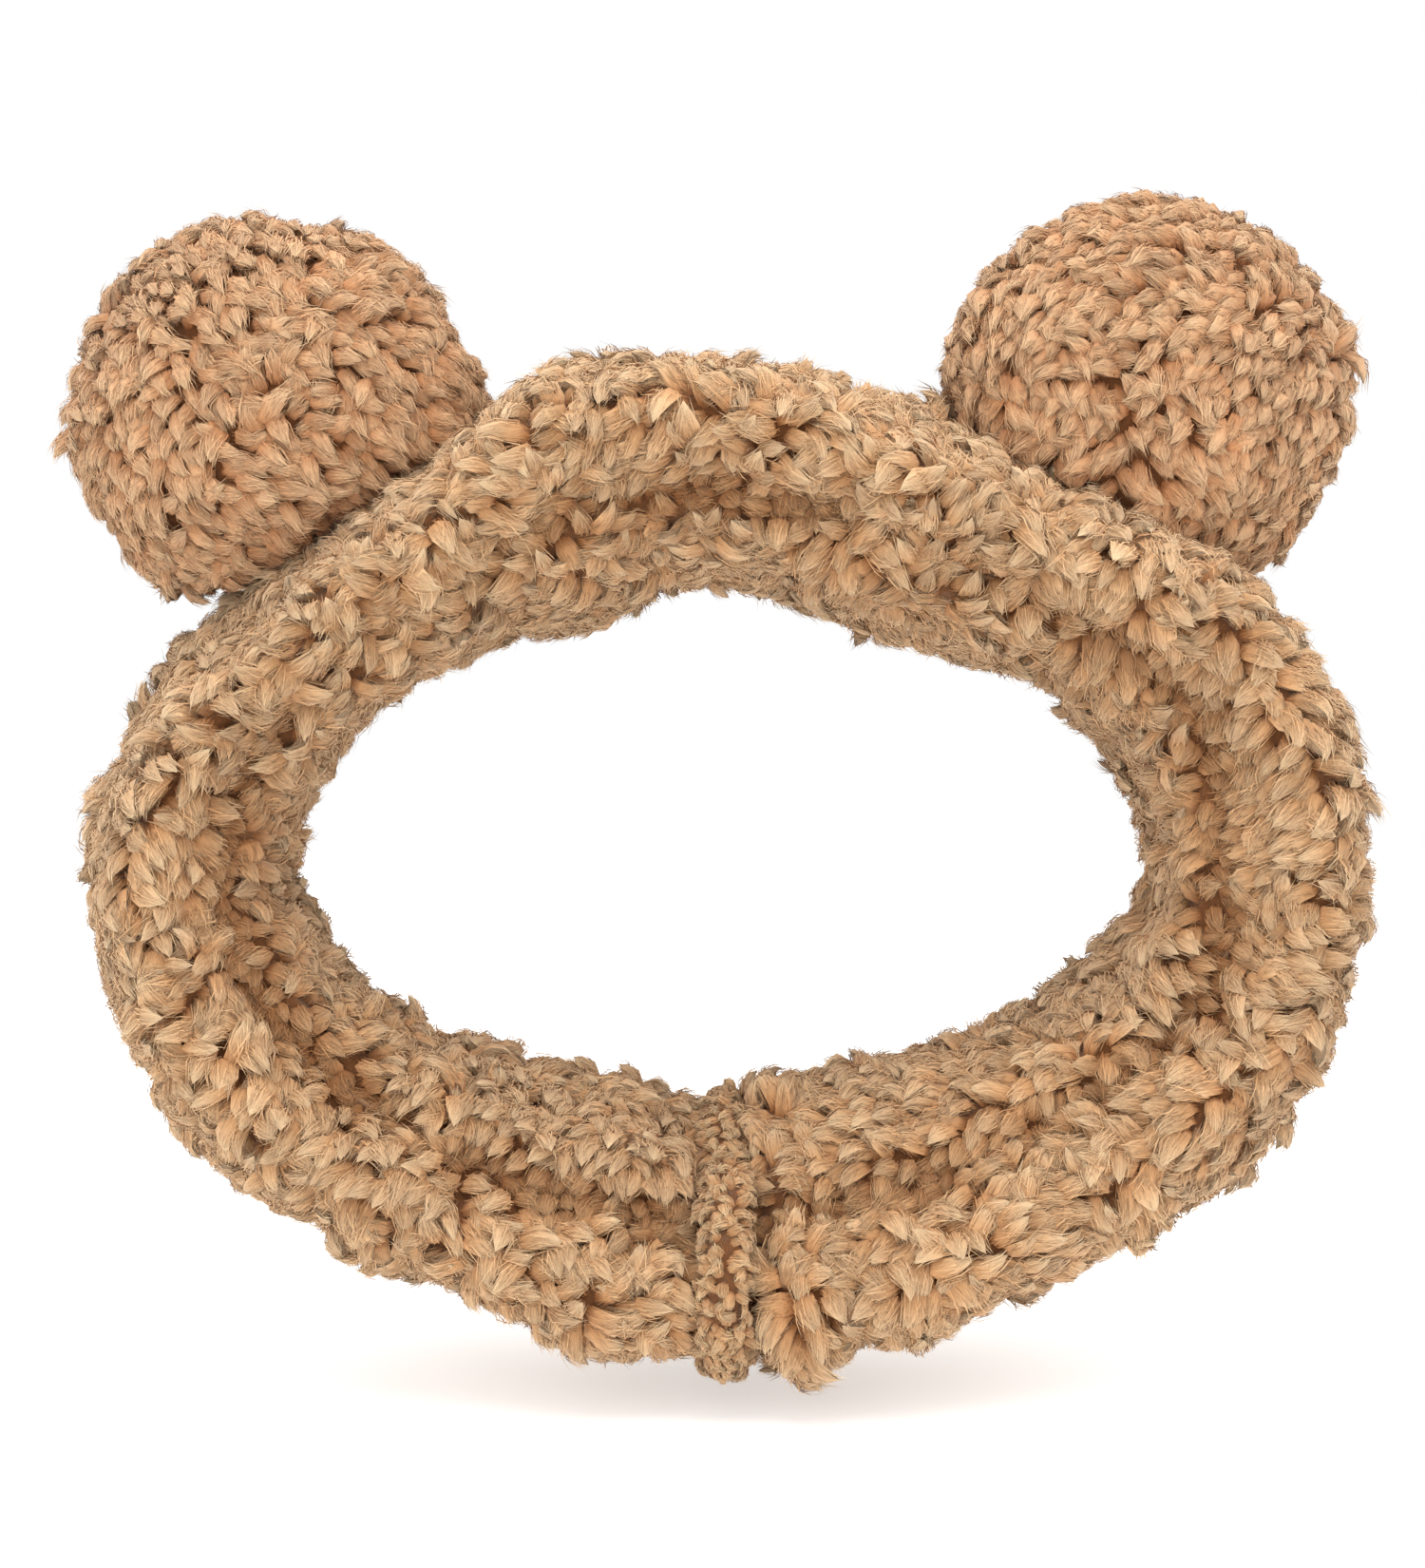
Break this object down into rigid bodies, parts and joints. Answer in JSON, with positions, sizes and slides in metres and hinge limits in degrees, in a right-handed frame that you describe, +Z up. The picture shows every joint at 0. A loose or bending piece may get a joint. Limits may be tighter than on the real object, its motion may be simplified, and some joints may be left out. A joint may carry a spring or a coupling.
{
  "type": "animal ears headband",
  "caption": "Plush elastic headband ring with stuffed round bear ears on top, worn round the head so that the ears stand up; each ear can be bent forwards and backwards.",
  "frame": {"origin": "middle of the head opening, halfway through the band's width", "axes": "+Z up through the ears, +Y backwards along the opening's axis, +X to the right seen from the front"},
  "size_m": [0.2637, 0.078, 0.2337],
  "materials": {
    "plush_band": "matte",
    "plush_ear": "matte",
    "plush_wrap": "matte",
    "thread": "matte",
    "elastic_webbing": "matte",
    "fibre_filling": "matte"
  },
  "bodies": {
    "band": {"band_outer_panel": "plush_band", "band_inner_panel": "plush_band", "band_front_seam": "thread", "band_back_seam": "thread", "band_end_seam": "thread", "band_filling": "fibre_filling", "band_elastic": "elastic_webbing", "elastic_join_stitches": "thread", "join_wrap": "plush_wrap", "join_wrap_stitches": "thread", "ear_left_base_stitches": "thread", "ear_right_base_stitches": "thread"},
    "ear_left": {"ear_left_front_panel": "plush_ear", "ear_left_back_panel": "plush_ear", "ear_left_edge_seam": "thread", "ear_left_filling": "fibre_filling"},
    "ear_right": {"ear_right_front_panel": "plush_ear", "ear_right_back_panel": "plush_ear", "ear_right_edge_seam": "thread", "ear_right_filling": "fibre_filling"}
  },
  "joints": [
    {"name": "ear_left_flop", "type": "hinge", "parent": "band", "child": "ear_left", "pos_m": [-0.08307, 0, 0.07439], "axis": [0.8434, 0, 0.5373], "range_deg": [-15, 15], "stiffness_Nm_per_rad": 0.04},
    {"name": "ear_right_flop", "type": "hinge", "parent": "band", "child": "ear_right", "pos_m": [0.0773, 0, 0.07789], "axis": [0.866, 0, -0.5], "range_deg": [-15, 15], "stiffness_Nm_per_rad": 0.04}
  ]
}
